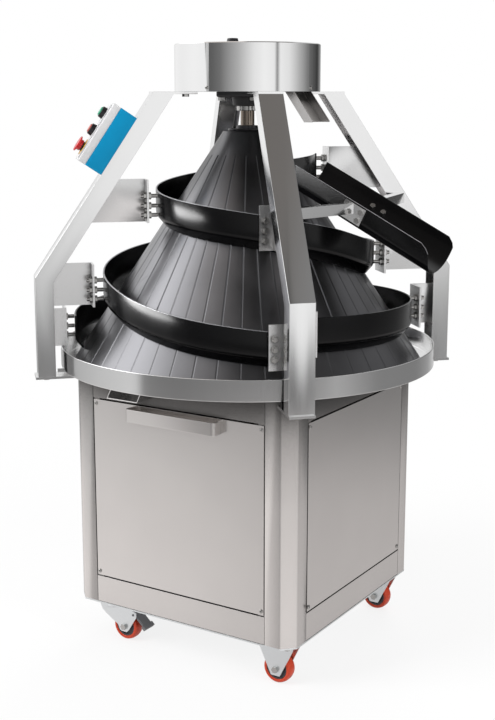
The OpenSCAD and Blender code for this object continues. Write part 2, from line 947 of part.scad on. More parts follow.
module control_lid() {
    color("whitesmoke")
        difference() {
            box_frame()
                difference() {
                    union() {
                        translate([box_d, -box_w / 2, -box_l / 2])
                            cube([lid_t, box_w, box_l]);
                        translate([box_d + lid_t - 1, -pad_w / 2, 6 - box_l / 2])
                            cube([pad_h + 1, pad_w, box_l - 12]);
                    }
                    translate([box_d - 1, -box_w / 2 + 4, -box_l / 2 + 4])
                        cube([lid_t - 3, box_w - 8, box_l - 8]);
                }
            for (d = [start_at, stop_at])
                on_lid(d)
                    translate([0, 0, -lid_wall - 5])
                        cylinder(h = lid_wall + 10, d = push_d + 2 * slide_gap);
            on_lid(mushroom_at)
                translate([0, 0, -lid_wall - 5])
                    cylinder(h = lid_wall + 10, d = stem_d + 2 * slide_gap);
        }
}

module button_bezels() {
    color("black")
        for (d = [start_at, stop_at])
            on_lid(d)
                difference() {
                    cylinder(h = bezel_h, d1 = 31, d2 = 28);
                    translate([0, 0, -1])
                        cylinder(h = bezel_h + 2, d = push_d + 2 * slide_gap);
                }
    color("black")
        on_lid(mushroom_at)
            translate([0, 0, legend_t])
                difference() {
                    cylinder(h = 6, d = stem_d + 8);
                    translate([0, 0, -1])
                        cylinder(h = 8, d = stem_d + 2 * slide_gap);
                }
}

module push_button(d) {
    on_lid(d) {
        translate([0, 0, -lid_wall - 2])
            cylinder(h = bezel_h + push_travel + lid_wall + 2, d = push_d);
        translate([0, 0, -lid_wall - 3.3])
            cylinder(h = 3, d = push_d + 6);
    }
}

module start_button() {
    color("green")
        push_button(start_at);
}

module stop_button() {
    color("indianred")
        push_button(stop_at);
}

module stop_collar() {
    color("gold")
        on_lid(mushroom_at)
            difference() {
                cylinder(h = legend_t, d = 42);
                translate([0, 0, -1])
                    cylinder(h = legend_t + 2, d = stem_d + 2 * slide_gap);
            }
}

module stop_mushroom() {
    r = stem_d / 2 + 6;
    z0 = legend_t + stop_travel + 0.3;
    z1 = legend_t + 6 + stop_travel + 0.5;
    color("red")
        on_lid(mushroom_at) {
            translate([0, 0, -lid_wall - 2])
                cylinder(h = z1 + lid_wall + 3, d = stem_d);
            translate([0, 0, -lid_wall - 3.3])
                cylinder(h = 3, d = stem_d + 8);
            rotate_extrude()
                polygon([[0, z1], [r - 1.5, z1], [r - 1.5, z0], [r, z0], [r, z1 + 1], [18, z1 + 1],
                    [20, z1 + 2.5], [20, z1 + 4.5], [18, z1 + 6], [0, z1 + 7]]);
        }
}

module gearbox() {
    color("slategray")
        translate([-pulley_gap, 0, z_base])
            difference() {
                union() {
                    translate([-60, -60, 0])
                        cube([120, 120, 12]);
                    translate([-50, -50, 11])
                        cube([100, 100, 139]);
                    translate([0, 0, 149])
                        cylinder(h = 12, d = 70);
                    translate([0, 49, 76])
                        rotate([-90, 0, 0])
                            cylinder(h = 16, d = 110);
                }
                translate([0, 0, 100])
                    cylinder(h = 80, d = 25 + 2 * run_gap);
            }
}

module motor() {
    color("dimgray")
        translate([-pulley_gap, motor_y, z_base + 76])
            rotate([-90, 0, 0]) {
                cylinder(h = 14, d = 130);
                translate([0, 0, 13])
                    cylinder(h = motor_l - 50, d = 116);
                translate([0, 0, motor_l - 40])
                    cylinder(h = 40, d = 122);
                translate([-35, -80, 50])
                    cube([70, 40, 70]);
            }
}

// V-belt pulley with one groove and a hub
module pulley(d, bore) {
    hub = bore + pulley_hub;
    rim = d / 2 + belt_t / 2;
    floor_r = d / 2 - belt_t / 2 - 1;
    w = belt_w / 2 + 0.6;
    h = pulley_w / 2;
    rotate_extrude($fn = 72)
        polygon([[bore, -h - 6], [hub, -h - 6], [hub, -h], [rim, -h], [rim, -w], [floor_r, -w], [floor_r, w],
            [rim, w], [rim, h], [hub, h], [hub, h + 6], [bore, h + 6]]);
}

module drive_pulley() {
    color("gray")
        translate([-pulley_gap, 0, pulley_z]) {
            pulley(small_pulley_d, 12);
            translate([0, 0, z_base + 101 - pulley_z])
                cylinder(h = pulley_z - z_base - 101 + 22, d = 25);
        }
}

module cone_pulley() {
    color("gray")
        translate([0, 0, pulley_z])
            pulley(big_pulley_d, shaft_d / 2 + seat_gap);
}

// Outline of the belt at a distance from its middle line
module belt_line(g) {
    hull() {
        circle(r = big_pulley_d / 2 + g, $fn = 72);
        translate([-pulley_gap, 0])
            circle(r = small_pulley_d / 2 + g, $fn = 48);
    }
}

module drive_belt() {
    color("black")
        translate([0, 0, pulley_z - belt_w / 2])
            linear_extrude(belt_w)
                difference() {
                    belt_line(belt_t / 2);
                    belt_line(-belt_t / 2);
                }
}

module caster_plate() {
    difference() {
        translate([-plate_l / 2, -plate_w / 2, caster_h - caster_plate_t])
            cube([plate_l, plate_w, caster_plate_t]);
        at_plate_holes()
            translate([0, 0, caster_h - 10])
                cylinder(h = 20, d = 8.4);
    }
}

module caster_plates() {
    color("silver")
        for (s = [-1, 1])
            translate([swivel_x, s * swivel_y, 0]) {
                caster_plate();
                translate([0, 0, caster_h - 11])
                    cylinder(h = 9, d1 = 46, d2 = 54);
                translate([0, 0, caster_h - 24])
                    cylinder(h = 14, d = 14);
                translate([0, 0, caster_h - 26])
                    cylinder(h = 4, d = 24);
            }
}

// Side of a fork with its holes, drawn along x and z
module fork_side(points, holes) {
    for (s = [-1, 1])
        translate([0, s * (fork_in + fork_t / 2), 0])
            difference() {
                upright(points, fork_t);
                for (h = holes)
                    translate([h[0], 0, h[1]])
                        rotate([90, 0, 0])
                            cylinder(h = 10, d = h[2], center = true);
            }
}

module rigid_forks() {
    w = 20;
    z = caster_h - caster_plate_t + 0.5;
    color("silver")
        for (s = [-1, 1])
            translate([rigid_x, s * rigid_y, 0]) {
                caster_plate();
                fork_side([[-48, z], [-48, z - 12], [-w, wheel_r], [-12, wheel_r - 16], [12, wheel_r - 16],
                    [w, wheel_r], [48, z - 12], [48, z]], [[0, wheel_r, axle_d + 2 * seat_gap]]);
            }
}

module swivel_fork(s) {
    z = caster_h - 21.5;
    color("silver")
        translate([swivel_x, s * swivel_y, 0]) {
            difference() {
                union() {
                    translate([0, 0, z])
                        cylinder(h = 10, d = 56);
                    translate([-36, -fork_in - fork_t, z])
                        cube([trail + 46, 2 * (fork_in + fork_t), 5]);
                }
                translate([0, 0, z - 5])
                    cylinder(h = 30, d = 14 + 2 * run_gap);
                translate([0, 0, z - 1])
                    cylinder(h = 3.5, d = 25);
            }
            fork_side([[-40, z + 5], [-40, z - 4], [-34, z - 16], [-22, z - 26], [trail - 20, wheel_r + 2],
                [trail - 14, wheel_r - 11], [trail - 8, wheel_r - 14], [trail + 8, wheel_r - 14],
                [trail + 16, wheel_r - 6], [trail + pivot_x + 9, pivot_z - 6],
                [trail + pivot_x + 9, pivot_z + 6], [trail + 8, z + 5]],
                [[trail, wheel_r, axle_d + 2 * seat_gap], [trail + pivot_x, pivot_z, 6.2 + 2 * run_gap]]);
        }
}

module fork_front_left() {
    swivel_fork(-1);
}

module fork_back_left() {
    swivel_fork(1);
}

module axle() {
    w = fork_in + fork_t;
    color("gray")
        translate([0, 0, wheel_r])
            rotate([90, 0, 0]) {
                translate([0, 0, -w - 0.5])
                    cylinder(h = 2 * w + 1, d = axle_d);
                translate([0, 0, w])
                    cylinder(h = 6, d = axle_d * 1.7, $fn = 6);
                translate([0, 0, -w - 7])
                    cylinder(h = 7, d = axle_d * 1.7, $fn = 6);
            }
}

module rigid_axles() {
    for (s = [-1, 1])
        translate([rigid_x, s * rigid_y, 0])
            axle();
}

module axle_front_left() {
    translate([swivel_x + trail, -swivel_y, 0])
        axle();
}

module axle_back_left() {
    translate([swivel_x + trail, swivel_y, 0])
        axle();
}

module hub() {
    w = wheel_w / 2;
    b = axle_d / 2 + run_gap;
    color("gray")
        translate([0, 0, wheel_r])
            rotate([90, 0, 0])
                rotate_extrude()
                    polygon([[b, -w - 1], [b + 6, -w - 1], [b + 6, -w + 6], [hub_r - 4, -w + 6],
                        [hub_r - 4, -w + 2], [hub_r, -w + 2], [hub_r, w - 2], [hub_r - 4, w - 2],
                        [hub_r - 4, w - 6], [b + 6, w - 6], [b + 6, w + 1], [b, w + 1]]);
}

module tread() {
    w = wheel_w / 2;
    r = hub_r + seat_gap;
    color("orangered")
        translate([0, 0, wheel_r])
            rotate([90, 0, 0])
                rotate_extrude()
                    polygon([[r, -w + 1], [wheel_r - 6, -w], [wheel_r - 2, -w + 2], [wheel_r, -5],
                        [wheel_r, 5], [wheel_r - 2, w - 2], [wheel_r - 6, w], [r, w - 1]]);
}

module hub_front_right() {
    translate([rigid_x, -rigid_y, 0])
        hub();
}

module hub_back_right() {
    translate([rigid_x, rigid_y, 0])
        hub();
}

module hub_front_left() {
    translate([swivel_x + trail, -swivel_y, 0])
        hub();
}

module hub_back_left() {
    translate([swivel_x + trail, swivel_y, 0])
        hub();
}

module tread_front_right() {
    translate([rigid_x, -rigid_y, 0])
        tread();
}

module tread_back_right() {
    translate([rigid_x, rigid_y, 0])
        tread();
}

module tread_front_left() {
    translate([swivel_x + trail, -swivel_y, 0])
        tread();
}

module tread_back_left() {
    translate([swivel_x + trail, swivel_y, 0])
        tread();
}

module pedal(s) {
    w = 2 * fork_in - 1;
    color("darkslategray")
        translate([swivel_x + trail + pivot_x, s * swivel_y, pivot_z]) {
            rotate([90, 0, 0]) {
                cylinder(h = w, d = 12, center = true);
                cylinder(h = w + 2 * fork_t + 3, d = 6.2, center = true);
            }
            rotate([0, 42, 0]) {
                translate([0, 1 - w / 2, -3])
                    cube([48, w - 2, 6]);
                translate([38, -w / 2 - 3, -4.5])
                    cube([12, w + 6, 9]);
            }
        }
}

module pedal_front_left() {
    pedal(-1);
}

module pedal_back_left() {
    pedal(1);
}

base_plate();
corner_posts();
cabinet_rails();
top_plate();
front_panel();
side_panels();
front_handle();
cover_screws();
leg_front_right();
leg_back_right();
leg_back_left();
leg_front_left();
leg_feet();
frame_bolts();
tray();
tray_spout();
cone();
cone_spider();
main_shaft();
lower_bearing();
upper_bearing();
drum_base();
drum_cover();
drum_knob();
flour_chute();
guide_upper();
guide_lower();
guide_brackets();
guide_bolts();
discharge_chute();
chute_arms();
control_box();
control_lid();
button_bezels();
start_button();
stop_button();
stop_mushroom();
stop_collar();
motor();
gearbox();
drive_pulley();
drive_belt();
cone_pulley();
caster_plates();
rigid_forks();
rigid_axles();
fork_front_left();
fork_back_left();
axle_front_left();
axle_back_left();
hub_front_right();
hub_back_right();
hub_front_left();
hub_back_left();
tread_front_right();
tread_back_right();
tread_front_left();
tread_back_left();
pedal_front_left();
pedal_back_left();
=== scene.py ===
"""Conical dough rounder: finished pieces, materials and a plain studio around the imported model."""

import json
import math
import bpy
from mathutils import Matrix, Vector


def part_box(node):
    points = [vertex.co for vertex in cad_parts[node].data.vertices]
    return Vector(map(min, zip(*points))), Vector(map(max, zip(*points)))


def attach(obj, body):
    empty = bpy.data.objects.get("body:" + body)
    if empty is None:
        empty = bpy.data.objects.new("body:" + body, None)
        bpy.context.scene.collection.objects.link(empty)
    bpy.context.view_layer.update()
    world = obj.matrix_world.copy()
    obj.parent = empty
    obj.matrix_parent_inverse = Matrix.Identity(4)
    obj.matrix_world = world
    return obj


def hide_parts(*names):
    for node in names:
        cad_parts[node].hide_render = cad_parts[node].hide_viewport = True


bl_info = {
    "name": "Conical dough rounder",
    "version": (1, 0, 0),
    "blender": (4, 5, 0),
    "location": "3D View > Sidebar > Rounder",
    "description": "Builds the finished pieces of a conical dough rounder on its measured frame",
    "category": "Object",
}

import bmesh
import bpy
from bpy.props import FloatProperty, FloatVectorProperty, IntProperty, PointerProperty
from mathutils import Matrix, Vector

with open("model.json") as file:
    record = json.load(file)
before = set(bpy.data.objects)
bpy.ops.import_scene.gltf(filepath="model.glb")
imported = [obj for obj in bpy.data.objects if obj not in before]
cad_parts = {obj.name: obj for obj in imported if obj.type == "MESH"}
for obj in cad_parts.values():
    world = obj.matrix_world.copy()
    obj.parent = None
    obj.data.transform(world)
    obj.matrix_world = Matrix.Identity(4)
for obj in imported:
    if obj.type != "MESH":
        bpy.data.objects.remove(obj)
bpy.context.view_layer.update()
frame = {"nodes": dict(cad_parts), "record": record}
NODES = frame["nodes"]
BODY = {node: body for body, nodes in frame["record"]["behaviour"]["bodies"].items() for node in nodes}
SLOT = {row["node"]: row["material_slot"] for row in frame["record"]["subparts"]}

MM = 0.001
# Corners nearer than these are one: those of the frame's triangles, and those at the pole of a turned piece
SAME_CORNER = 0.02 * MM
SAME_POLE = 0.001 * MM
# Angles between two faces, in degrees: flatter is one face, and from this one on an edge is sharp
FLAT = 0.4
SHARP = 32
# A sheet is trimmed along the directions in which it is broader than this
BROAD = 60 * MM
# A bore is turned this much wider than the shaft in it
BORE_FIT = 1.01
# Material slot of the pale rims on guides and chute, a painted highlight along their edges
RIM = 1

# Cover screws: the shank as a share of the head, the socket's mouth as a share of the socket, and the head's
# dome as pairs of a share of its radius and a depth in mm under its top
SHANK = 0.5
MOUTH = 1.16
MOUTH_DEPTH = 0.2 * MM
DRILL_POINT = 0.3 * MM
DOME = ((1.0, 1.9), (0.93, 1.1), (0.78, 0.4), (0.55, 0.0))
SCREW_STEPS = 24


def linear(code):
    """Turn a colour as seen on screen, in hex, into the linear value that shaders use."""
    parts = [int(code[i:i + 2], 16) / 255 for i in (1, 3, 5)]
    return tuple(p / 12.92 if p <= 0.04045 else ((p + 0.055) / 1.055) ** 2.4 for p in parts)


def length(name, description, default):
    """A size in metres, given here in millimetres."""
    return FloatProperty(name=name, description=description, default=default * MM, min=0.0, precision=5,
                         subtype="DISTANCE", unit="LENGTH")


def colour(name, description, code):
    """A surface colour, given here in hex."""
    return FloatVectorProperty(name=name, description=description, default=linear(code), min=0.0, max=1.0,
                               subtype="COLOR")


class RounderSizes(bpy.types.PropertyGroup):
    """Sizes of the finished pieces that the frame doesn't fix."""

    cut_edge: length("Cut edge", "Rounding of a deburred sheet edge", 0.6)
    plate_edge: length("Plate edge", "Rounding of a deburred edge of thicker plate", 0.9)
    panel_edge: length("Panel edge", "Rounding of the folded edge of a panel", 1.8)
    seam: length("Seam", "What is taken off each side of panels and rails so that dark seams show", 1.0)
    post_fold: length("Post fold", "Bend radius of the corner posts", 3.0)
    leg_fold: length("Leg fold", "Bend radius of the legs", 5.0)
    box_corner: length("Box corner", "Rounding of the control box", 4.0)
    guide_fold: length("Guide fold", "Bend radius between a guide's band and flange", 7.0)
    guide_edge: length("Guide edge", "Rounding of the rims of the guides", 1.3)
    chute_edge: length("Chute edge", "Rounding of the rims of the discharge chute", 0.7)
    bearing_corner: length("Bearing corner", "Rounding of the bearing flange in plan", 16.0)
    turned_edge: length("Turned edge", "Chamfer of the cap plate and the collar", 1.0)
    cap_radius: length("Cap radius", "Radius of the plate on the cone's top", 48.5)
    cap_thickness: length("Cap thickness", "Thickness of the plate on the cone's top", 6.5)
    boss_radius: length("Boss radius", "Radius of the boss on the cap plate, at its foot", 28.0)
    boss_height: length("Boss height", "Height of the boss over the cone's top", 15.0)
    collar_radius: length("Collar radius", "Radius of the locking collar on the shaft", 27.2)
    collar_height: length("Collar height", "Height of the locking collar on the shaft", 12.0)
    collar_gap: length("Collar gap", "Gap between the collar and the bearing over it", 0.5)
    screw_head: length("Screw head", "Height of the head of a cover screw", 2.5)
    screw_socket: length("Screw socket", "Width across flats of the socket in a cover screw", 3.0)
    socket_depth: length("Socket depth", "Depth of the socket in a cover screw", 1.6)
    ring_steps: IntProperty(name="Ring steps", description="Steps of a full turn in round pieces",
                            default=96, min=24)


class RounderColours(bpy.types.PropertyGroup):
    """Colours of the finishes."""

    stainless: colour("Stainless sheet", "Satin stainless steel", "#e3e0de")
    polished: colour("Polished sheet", "Bright polished stainless steel", "#f0f0f0")
    zinc: colour("Zinc", "Bright zinc plate with a cool tint", "#eef2f4")
    fastener: colour("Fastener", "Stainless bolts and screws", "#bdbcba")
    shaft: colour("Shaft", "Ground steel shaft", "#8a7f75")
    cone: colour("Cone coating", "Grey release coating on the cone", "#7e7e81")
    painted_light: colour("Worn rim", "Pale rim painted as a highlight along the black coating's edges", "#a2a2a5")
    guide: colour("Guide coating", "Black release coating on guides and chute", "#060607")
    aluminium: colour("Cast aluminium", "Bare cast aluminium", "#a9abad")
    bearing: colour("Bearing iron", "Black painted cast iron", "#1b1b1d")
    pulley: colour("Pulley iron", "Turned cast iron", "#66686a")
    motor: colour("Motor paint", "Grey machine paint", "#4d5560")
    rubber: colour("Belt rubber", "Black belt rubber", "#17171a")
    box: colour("Control box", "Blue moulded plastic", "#008dbd")
    lid: colour("Control lid", "Pale grey moulded plastic", "#d6d6d7")
    black: colour("Black plastic", "Black moulded plastic", "#1c1b1e")
    green: colour("Start button", "Green button plastic", "#2aa17a")
    pale_red: colour("Stop button", "Pale red button plastic", "#c8685f")
    red: colour("Mushroom button", "Red button plastic", "#c0141f")
    yellow: colour("Button collar", "Yellow collar plastic", "#e3b420")
    hub: colour("Wheel hub", "Dark grey moulded wheel hub", "#3d3d41")
    tread: colour("Wheel tread", "Orange red polyurethane", "#c43d1b")
    pedal: colour("Pedal", "Grey brake pedal", "#6e6e70")


def add(tree, kind, inputs=None, **settings):
    """Add a node, set its properties, then fill its inputs with plain values or with links."""
    node = tree.nodes.new(kind)
    for key, value in settings.items():
        setattr(node, key, value)
    for key, value in (inputs or {}).items():
        if isinstance(value, bpy.types.NodeSocket):
            tree.links.new(value, node.inputs[key])
        else:
            node.inputs[key].default_value = value
    return node


# Inputs and output of a Mix node that mixes colours, which share their names with others and so go by number
SHARE, FIRST, SECOND, MIXED = 0, 6, 7, 2
# Most of a noise pattern lies between these values
NOISE = {"From Min": 0.3, "From Max": 0.7}
# Patches of haze, in mm across, on bare metal and on plastic and coatings
METAL_HAZE = 143
MOULDED_HAZE = 91
# How far a line of the grain runs along x, y and z: upright, level round a turned piece, or no way more than
# another
UPRIGHT, ROUND, EVERY = (1, 1, 60), (60, 60, 1), (1, 1, 1)
# The grain of rolled sheet is about 0.2 mm; it is drawn at 1.2 mm so that it shows without shimmer
SHEET_GRAIN = 1.2


def begin(name):
    """A new material, with its node tree and the place on the piece that its patterns follow."""
    mat = bpy.data.materials.new(name)
    mat.use_nodes = True
    return mat, mat.node_tree, add(mat.node_tree, "ShaderNodeTexCoord").outputs["Object"]


def complete(tree, tint, level, gloss, relief, plain):
    """Give the shader its colour at a level, its gloss and its relief, then its plain values."""
    base = add(tree, "ShaderNodeMix", {SHARE: 1.0, FIRST: (*tint, 1.0), SECOND: level}, data_type="RGBA",
               blend_type="MULTIPLY")
    shader = tree.nodes["Principled BSDF"]
    tree.links.new(base.outputs[MIXED], shader.inputs["Base Color"])
    tree.links.new(gloss.outputs[0], shader.inputs["Roughness"])
    tree.links.new(relief.outputs[0], shader.inputs["Normal"])
    for key, value in plain.items():
        shader.inputs[key].default_value = value


def metal(name, tint, rough, grain, run, bump=0.01, shade=0.0, reach=220):
    """Bare metal with a fine grain: grain in mm between lines, run how far a line goes along x, y and z.

    Shade is how much painted shade darkens the sheet where other pieces stand over it, within a reach in mm.
    """
    mat, tree, place = begin(name)
    lines = add(tree, "ShaderNodeMapping", {"Vector": place, "Scale": [1 / (grain * MM * r) for r in run]})
    brush = add(tree, "ShaderNodeTexNoise", {"Vector": lines.outputs[0], "Scale": 1.0, "Detail": 3.0})
    haze = add(tree, "ShaderNodeTexNoise", {"Vector": place, "Scale": 1 / (METAL_HAZE * MM), "Detail": 2.0})
    tone = add(tree, "ShaderNodeMapRange", {"Value": haze.outputs[0], **NOISE, "To Min": 0.97, "To Max": 1.0})
    level = tone.outputs[0]
    if shade:
        # Painted shade: the tone darkens where other pieces stand over the sheet, as seen looking upward from
        # it
        facing = add(tree, "ShaderNodeNewGeometry").outputs["Normal"]
        upward = add(tree, "ShaderNodeVectorMath", {0: facing, 1: (0.0, 0.0, 0.8)}, operation="ADD")
        towards = add(tree, "ShaderNodeVectorMath", {0: upward.outputs[0]}, operation="NORMALIZE")
        open_to_light = add(tree, "ShaderNodeAmbientOcclusion",
                            {"Distance": reach * MM, "Normal": towards.outputs[0]}, samples=8)
        painted_shade_level = add(tree, "ShaderNodeMapRange", {"Value": open_to_light.outputs["AO"], "From Min": 0.3,
                                                  "From Max": 0.85, "To Min": 1.0 - shade, "To Max": 1.0})
        level = add(tree, "ShaderNodeMath", {0: level, 1: painted_shade_level.outputs[0]}, operation="MULTIPLY").outputs[0]
    gloss = add(tree, "ShaderNodeMapRange", {"Value": brush.outputs[0], **NOISE, "To Min": rough * 0.94,
                                             "To Max": rough * 1.06})
    relief = add(tree, "ShaderNodeBump", {"Strength": bump, "Distance": 0.2 * MM,
                                          "Height": brush.outputs[0]})
    complete(tree, tint, level, gloss, relief, {"Metallic": 1.0})
    return mat


def moulded(name, tint, rough, grain, bump=0.1, coat=0.0, metallic=0.0, rubbed=None, gleam=0.5):
    """Plastic, paint, rubber or coating with a fine pebbled grain, in mm, and a slightly uneven tone.

    Two heights, in mm, give painted shade that darkens the tone upward between them. Gleam is the specular
    level.
    """
    mat, tree, place = begin(name)
    pebble = add(tree, "ShaderNodeTexNoise", {"Vector": place, "Scale": 1 / (grain * MM), "Detail": 2.0})
    haze = add(tree, "ShaderNodeTexNoise", {"Vector": place, "Scale": 1 / (MOULDED_HAZE * MM), "Detail": 3.0})
    tone = add(tree, "ShaderNodeMapRange", {"Value": haze.outputs[0], **NOISE, "To Min": 0.88, "To Max": 1.0})
    level = tone.outputs[0]
    # Painted shade: the tone darkens upward between the two heights, as under the drum
    if rubbed:
        low, high = rubbed
        height = add(tree, "ShaderNodeSeparateXYZ", {"Vector": place}).outputs["Z"]
        painted_light = add(tree, "ShaderNodeMapRange", {"Value": height, "From Min": low * MM, "From Max": high * MM,
                                                "To Min": 1.0, "To Max": 0.3},
                   interpolation_type="SMOOTHSTEP")
        level = add(tree, "ShaderNodeMath", {0: level, 1: painted_light.outputs[0]}, operation="MULTIPLY").outputs[0]
    gloss = add(tree, "ShaderNodeMapRange", {"Value": haze.outputs[0], **NOISE, "To Min": rough * 0.9,
                                             "To Max": rough * 1.1})
    relief = add(tree, "ShaderNodeBump", {"Strength": bump, "Distance": 0.3 * MM,
                                          "Height": pebble.outputs[0]})
    complete(tree, tint, level, gloss, relief, {"Metallic": metallic, "Specular IOR Level": gleam,
                                                "Coat Weight": coat, "Coat Roughness": 0.12})
    return mat


# Each finish: how it is made, its name, its colour and its settings
FINISHES = {
    # Satin stainless sheet, grain upright, soft reflections, with a little painted shade where other pieces
    # stand over it
    "stainless_sheet": (metal, "Satin stainless sheet", "stainless",
                        dict(rough=0.24, grain=SHEET_GRAIN, run=UPRIGHT, shade=0.12)),
    # The same sheet on posts and rails, with strong painted shade where the tray stands over them
    "shaded_sheet": (metal, "Shaded stainless sheet", "stainless",
                     dict(rough=0.24, grain=SHEET_GRAIN, run=UPRIGHT, shade=0.9, reach=260)),
    # Sheet with a brighter finish, for legs, feet, the chute's arms, the tray and its spout
    "bright_sheet": (metal, "Bright stainless sheet", "polished",
                     dict(rough=0.14, grain=SHEET_GRAIN, run=UPRIGHT)),
    # Sheet of the guide brackets, with painted shade round the bolts and where the guides meet them
    "bracket_sheet": (metal, "Bracket sheet", "polished",
                      dict(rough=0.28, grain=SHEET_GRAIN, run=EVERY, shade=0.85, reach=16)),
    # Sheet of the flour chute, with painted shade where the drum stands over it
    "flour_sheet": (metal, "Flour chute sheet", "stainless",
                    dict(rough=0.3, grain=SHEET_GRAIN, run=UPRIGHT, shade=0.6, reach=260)),
    # Polished stainless sheet, nearly a mirror with faint lines round it
    "drum_steel": (metal, "Polished stainless sheet", "polished",
                   dict(rough=0.08, grain=SHEET_GRAIN, run=ROUND)),
    # Bright zinc plate, cool and slightly cloudy
    "zinc_steel": (metal, "Bright zinc plate", "zinc", dict(rough=0.34, grain=2.0, run=EVERY, bump=0.03)),
    # Stainless bolts, plain turned
    "fastener_steel": (metal, "Stainless fasteners", "fastener", dict(rough=0.26, grain=0.8, run=EVERY)),
    # Ground shaft with a warm tint
    "shaft_steel": (metal, "Ground shaft steel", "shaft", dict(rough=0.22, grain=0.8, run=ROUND)),
    # Grey release coating over cast aluminium, satin, with painted shade darkening it upward above the first
    # turn, under the drum
    "cone_coating": (moulded, "Grey release coating", "cone",
                     dict(rough=0.31, grain=0.6, bump=0.03, metallic=1.0, rubbed=(1060, 1230))),
    # Black release coating, smooth with a soft shine
    "guide_coating": (moulded, "Black release coating", "guide",
                      dict(rough=0.2, grain=0.6, bump=0.02, gleam=0.25)),
    # Rims of guides and chute, pale grey as a painted highlight along their edges
    "painted_highlight_rim": (moulded, "Worn rim", "painted_light", dict(rough=0.3, grain=0.6, bump=0.02, metallic=0.5)),
    # Bare sand casting
    "cast_aluminium": (metal, "Cast aluminium", "aluminium", dict(rough=0.5, grain=1.5, run=EVERY)),
    # Black painted casting, pebbled
    "bearing_iron": (moulded, "Painted cast iron", "bearing", dict(rough=0.45, grain=1.5, bump=0.3)),
    # Turned grey iron
    "pulley_iron": (metal, "Turned cast iron", "pulley", dict(rough=0.45, grain=0.8, run=ROUND)),
    # Grey machine enamel
    "motor_paint": (moulded, "Machine enamel", "motor", dict(rough=0.4, grain=1.2, bump=0.15)),
    # Matt belt rubber
    "belt_rubber": (moulded, "Belt rubber", "rubber", dict(rough=0.7, grain=0.8, bump=0.2)),
    # Blue moulded box, fine texture, little shine
    "box_plastic": (moulded, "Blue box plastic", "box", dict(rough=0.38, grain=0.7, bump=0.08, gleam=0.2)),
    # Pale grey lid, fine texture
    "lid_plastic": (moulded, "Pale lid plastic", "lid", dict(rough=0.42, grain=0.7, bump=0.08)),
    # Black button rings
    "black_plastic": (moulded, "Black plastic", "black", dict(rough=0.35, grain=0.7, bump=0.08)),
    # Green, pale red and red buttons, glossy
    "green_plastic": (moulded, "Green button plastic", "green",
                      dict(rough=0.28, grain=0.5, bump=0.02, coat=0.2)),
    "pale_red_plastic": (moulded, "Pale red button plastic", "pale_red",
                         dict(rough=0.28, grain=0.5, bump=0.02, coat=0.2)),
    "red_plastic": (moulded, "Red button plastic", "red",
                    dict(rough=0.28, grain=0.5, bump=0.02, coat=0.2)),
    # Yellow collar
    "yellow_plastic": (moulded, "Yellow collar plastic", "yellow", dict(rough=0.36, grain=0.7, bump=0.05)),
    # Dark grey wheel hub
    "hub_plastic": (moulded, "Grey hub plastic", "hub", dict(rough=0.4, grain=0.7, bump=0.08)),
    # Orange red polyurethane, slightly waxy
    "tread_polyurethane": (moulded, "Polyurethane tread", "tread", dict(rough=0.33, grain=0.8, bump=0.05)),
    # Grey pedal
    "pedal_plastic": (moulded, "Pedal plastic", "pedal", dict(rough=0.45, grain=0.8, bump=0.15)),
}

made = {}


def finish(slot):
    """The finish of a slot, made once and then shared."""
    if slot not in made:
        maker, name, tint, settings = FINISHES[slot]
        made[slot] = maker(name, getattr(bpy.context.scene.rounder_colours, tint), **settings)
    return made[slot]


def merged(node):
    """A working copy of a frame node's mesh, with its corners joined and its flat faces whole."""
    bm = bmesh.new()
    bm.from_mesh(NODES[node].data)
    bmesh.ops.remove_doubles(bm, verts=bm.verts, dist=SAME_CORNER)
    bmesh.ops.dissolve_limit(bm, angle_limit=math.radians(FLAT), verts=bm.verts, edges=bm.edges)
    bmesh.ops.recalc_face_normals(bm, faces=bm.faces)
    return bm


def piece(name, bm, body, slot, stands_for=(), look=None):
    """Make an object of a finished mesh, smooth except at real edges, that rides on a body of the frame."""
    mesh = bpy.data.meshes.new(name)
    bm.to_mesh(mesh)
    bm.free()
    mesh.materials.append(finish(look or slot))
    mesh.shade_smooth()
    mesh.set_sharp_from_angle(angle=math.radians(SHARP))
    obj = bpy.data.objects.new(name, mesh)
    bpy.context.scene.collection.objects.link(obj)
    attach(obj, body)
    if stands_for:
        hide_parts(*stands_for)
    return obj


def soften(obj, width, segments=2):
    """Round the edges of a piece as its maker would break them."""
    bevel = obj.modifiers.new("Broken edges", "BEVEL")
    bevel.width = width
    bevel.segments = segments
    bevel.limit_method = "ANGLE"
    bevel.angle_limit = math.radians(SHARP)
    bevel.use_clamp_overlap = True
    bevel.harden_normals = True
    return obj


def fold(bm, radius, broad, low=20, high=100):
    """Round the edges where two broad faces meet, as a press brake leaves them.

    Broad is in square mm; low and high are the angles of such edges, in degrees.
    """
    edges = [e for e in bm.edges if len(e.link_faces) == 2
             and math.radians(low) < e.calc_face_angle() < math.radians(high)
             and min(f.calc_area() for f in e.link_faces) > broad * MM * MM]
    bmesh.ops.bevel(bm, geom=edges, offset=radius, offset_type="OFFSET", affect="EDGES", segments=4,
                    profile=0.5, material=-1, clamp_overlap=True)


def painted_highlight_rim(bm, thick, width, upward=0.6, keen=0.9):
    """Round the rims of a sheet and give them the second material, a pale painted highlight.

    Thick is the sheet's thickness in mm. A rim is a narrow face with a long edge that bends by more than
    keen, in radians, and the z of its normal is over upward.
    """
    rims = set()
    for face in bm.faces:
        longest = max(e.calc_length() for e in face.edges)
        sharp = any(e.calc_length() > longest / 2 and e.calc_face_angle(0.0) > keen for e in face.edges)
        if sharp and face.normal.z > upward and face.calc_area() < 1.2 * thick * MM * longest:
            face.material_index = RIM
            rims.add(face)
    edges = [e for e in bm.edges if sum(f in rims for f in e.link_faces) == 1]
    rounded = bmesh.ops.bevel(bm, geom=edges, offset=width, offset_type="OFFSET", affect="EDGES", segments=2,
                              profile=0.5, material=-1)
    for face in rounded["faces"]:
        face.material_index = RIM


